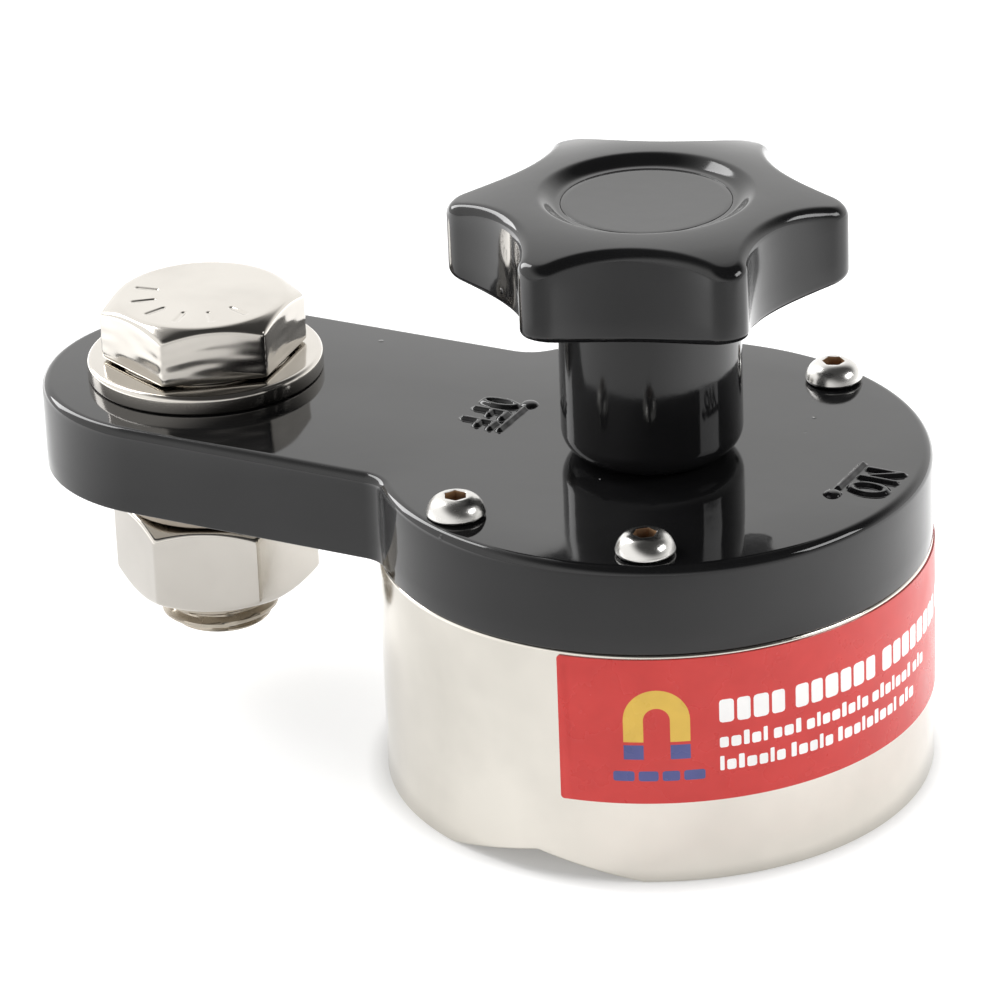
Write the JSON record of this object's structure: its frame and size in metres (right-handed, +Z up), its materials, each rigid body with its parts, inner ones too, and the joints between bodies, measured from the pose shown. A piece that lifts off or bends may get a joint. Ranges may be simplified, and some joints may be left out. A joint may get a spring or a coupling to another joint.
{
  "type": "switchable welding magnet holder",
  "caption": "Round steel magnet base with a star knob that switches it on and off, and an offset lug with a bolt, washers and a nut for a welding earth cable.",
  "frame": {"origin": "middle of the bounding box in plan, at the level of the pole faces that the cup stands on", "axes": "+Z up along the knob's axis, +X from the cable lug towards the round head, +Y along the V groove"},
  "size_m": [0.1248, 0.0723, 0.0794],
  "materials": {
    "nickel_plate": "satin-bright nickel plate over turned steel",
    "black_enamel": "gloss black enamel on a casting",
    "knob_enamel": "gloss black enamel",
    "bolt_plate": "bright nickel plate",
    "bright_steel": "bright stainless steel",
    "magnet_plate": "nickel-plated sintered magnet",
    "cast_alloy": "machined",
    "bearing_bronze": "oiled bearing bronze",
    "seal_rubber": "matt",
    "slip_plastic": "low-friction plastic",
    "label_red": "printed vinyl sticker"
  },
  "bodies": {
    "holder": {"magnet_body": "nickel_plate", "lower_magnet": "magnet_plate", "slip_disc": "slip_plastic", "thrust_washer": "bearing_bronze", "shaft_bush": "bearing_bronze", "shaft_seal": "seal_rubber", "stop_pin": "bright_steel", "cover_plate": "black_enamel", "cover_screw_1": "bright_steel", "cover_screw_2": "bright_steel", "cover_screw_3": "bright_steel", "cover_screw_4": "bright_steel", "terminal_washer": "bolt_plate", "label": "label_red"},
    "rotor": {"star_knob": "knob_enamel", "knob_cap": "knob_enamel", "knob_screw": "bright_steel", "knob_screw_washer": "bright_steel", "spindle": "bright_steel", "rotor_carrier": "cast_alloy", "drive_pin_1": "bright_steel", "drive_pin_2": "bright_steel", "upper_magnet": "magnet_plate"},
    "terminal_bolt": {"terminal_bolt": "bolt_plate"},
    "terminal_nut": {"terminal_nut": "bolt_plate", "spring_washer": "bright_steel", "lug_washer": "bolt_plate"}
  },
  "joints": [
    {"name": "knob_turn", "type": "hinge", "parent": "holder", "child": "rotor", "pos_m": [0.02592, 0, 0.044], "axis": [0, 0, 1], "range_deg": [0, 180]},
    {"name": "nut_travel", "type": "slide", "parent": "holder", "child": "terminal_nut", "axis": [0, 0, -1], "range_m": [0, 0.007]},
    {"name": "bolt_turn", "type": "hinge", "parent": "holder", "child": "terminal_bolt", "pos_m": [-0.04038, 0, 0.044], "axis": [0, 0, 1], "range_deg": [0, 1260.01]}
  ],
  "couplings": [
    {"joint": "bolt_turn", "follows": "nut_travel", "rad_per_m": 3141.6}
  ]
}
